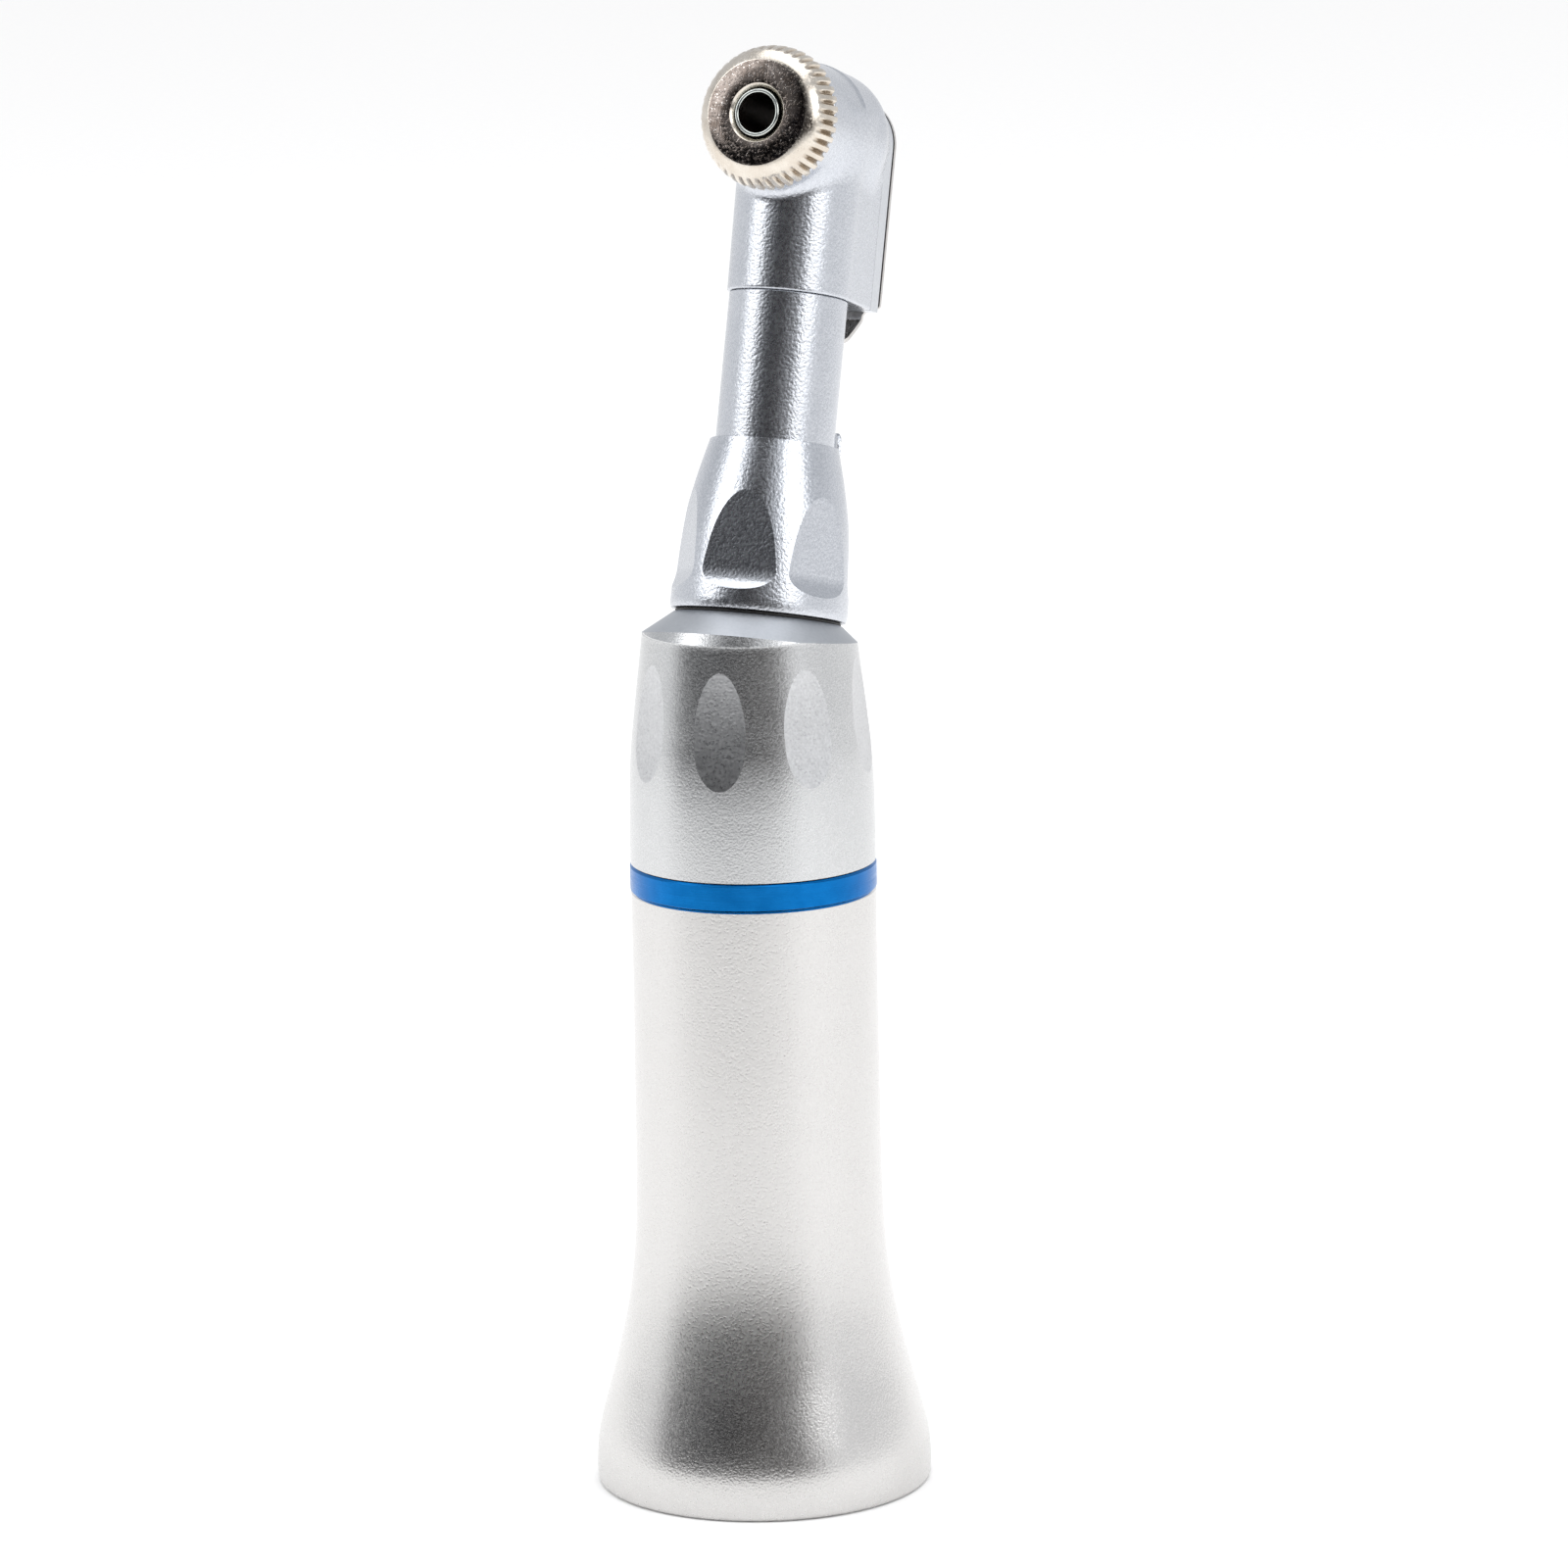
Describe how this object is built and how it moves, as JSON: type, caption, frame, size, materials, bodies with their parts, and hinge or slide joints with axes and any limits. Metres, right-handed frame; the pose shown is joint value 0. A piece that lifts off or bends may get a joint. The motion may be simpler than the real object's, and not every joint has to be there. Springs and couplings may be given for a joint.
{
  "type": "contra angle handpiece",
  "caption": "Low-speed dental contra angle with a latch-type head on an angled neck, a knurled lock collar, a blue speed ring and a flared handle that plugs onto a motor.",
  "frame": {"origin": "centre of the rear rim, on the handle's axis, where the motor's face meets it", "axes": "+Z along the handle towards the head; the neck leans to +Y and the bur points to -Y"},
  "size_m": [0.0206, 0.0265, 0.0877],
  "materials": {
    "sleeve_steel": "satin, bead-blasted and almost white",
    "grip_steel": "satin, fine turned grain",
    "satin_chrome": "satin chrome with a fine sparkle",
    "blue_anodised": "glossy blue anodised",
    "cap_nickel": "glossy warm nickel",
    "latch_steel": "polished spring steel",
    "bearing_steel": "ground and polished",
    "shaft_steel": "ground and polished",
    "spacer_steel": "turned",
    "bronze": "turned bearing bronze",
    "brass": "turned brass",
    "black_rubber": "matt black rubber",
    "cage_plastic": "moulded brown phenolic"
  },
  "bodies": {
    "handle": {"rear_sleeve": "sleeve_steel", "coupling_socket": "brass", "socket_seal": "black_rubber", "speed_ring": "blue_anodised", "front_grip": "grip_steel", "bearing_housing": "brass", "bearing_spacer": "spacer_steel", "bearing_nut": "spacer_steel", "rear_bearing_outer_race": "bearing_steel", "front_bearing_outer_race": "bearing_steel", "nose_seal": "black_rubber", "neck_tube": "satin_chrome", "neck_rear_bush": "bronze", "neck_front_bush": "bronze", "head_housing": "satin_chrome", "back_plate": "satin_chrome", "latch_washer": "bronze", "latch_screw": "latch_steel", "rear_bur_bush": "bronze", "bur_bearing_outer_race": "bearing_steel", "cap_washer": "spacer_steel", "head_cap": "cap_nickel"},
    "drive": {"drive_shaft": "shaft_steel", "drive_gear": "bearing_steel", "dog_spring": "shaft_steel", "rear_bearing_inner_race": "bearing_steel", "front_bearing_inner_race": "bearing_steel"},
    "dog": {"drive_dog": "bearing_steel", "dog_pin": "shaft_steel"},
    "rear_cage": {"rear_bearing_cage": "cage_plastic"},
    "front_cage": {"front_bearing_cage": "cage_plastic"},
    "neck_drive": {"neck_shaft": "shaft_steel", "neck_rear_gear": "bearing_steel", "neck_front_gear": "bearing_steel"},
    "bur_drive": {"bur_tube": "shaft_steel", "bur_gear": "bearing_steel", "gear_spacer": "spacer_steel", "tube_clip": "spacer_steel", "bur_bearing_inner_race": "bearing_steel"},
    "bur_cage": {"bur_bearing_cage": "cage_plastic"},
    "latch": {"latch_lever": "latch_steel"},
    "collar": {"lock_collar": "satin_chrome"}
  },
  "joints": [
    {"name": "drive_spin", "type": "hinge", "parent": "handle", "child": "drive", "pos_m": [0, 0, 0.04], "axis": [0, 0, 1], "continuous": true},
    {"name": "dog_slide", "type": "slide", "parent": "drive", "child": "dog", "axis": [0, 0, 1], "range_m": [0, 0.0015], "stiffness_N_per_m": 400, "springref_m": -0.002, "deforming": ["dog_spring"]},
    {"name": "rear_cage_spin", "type": "hinge", "parent": "handle", "child": "rear_cage", "pos_m": [0, 0, 0.0342], "axis": [0, 0, 1], "continuous": true},
    {"name": "front_cage_spin", "type": "hinge", "parent": "handle", "child": "front_cage", "pos_m": [0, 0, 0.0422], "axis": [0, 0, 1], "continuous": true},
    {"name": "neck_spin", "type": "hinge", "parent": "handle", "child": "neck_drive", "pos_m": [0, 0.00518, 0.06794], "axis": [0, 0.2588, 0.9659], "continuous": true},
    {"name": "bur_spin", "type": "hinge", "parent": "handle", "child": "bur_drive", "pos_m": [0, 0.00899, 0.08217], "axis": [0, -0.9659, 0.2588], "continuous": true},
    {"name": "bur_cage_spin", "type": "hinge", "parent": "handle", "child": "bur_cage", "pos_m": [0, 0.00479, 0.08329], "axis": [0, -0.9659, 0.2588], "continuous": true},
    {"name": "latch_swing", "type": "hinge", "parent": "handle", "child": "latch", "pos_m": [0, 0.01382, 0.07518], "axis": [0, 0.9659, -0.2588], "range_deg": [0, 25]},
    {"name": "collar_turn", "type": "hinge", "parent": "handle", "child": "collar", "pos_m": [0, 0.00259, 0.05828], "axis": [0, 0.2588, 0.9659], "range_deg": [0, 90]}
  ],
  "couplings": [
    {"joint": "rear_cage_spin", "follows": "drive_spin", "ratio": 0.434},
    {"joint": "front_cage_spin", "follows": "drive_spin", "ratio": 0.434},
    {"joint": "neck_spin", "follows": "drive_spin", "ratio": 1},
    {"joint": "bur_spin", "follows": "drive_spin", "ratio": 1},
    {"joint": "bur_cage_spin", "follows": "drive_spin", "ratio": 0.434}
  ]
}
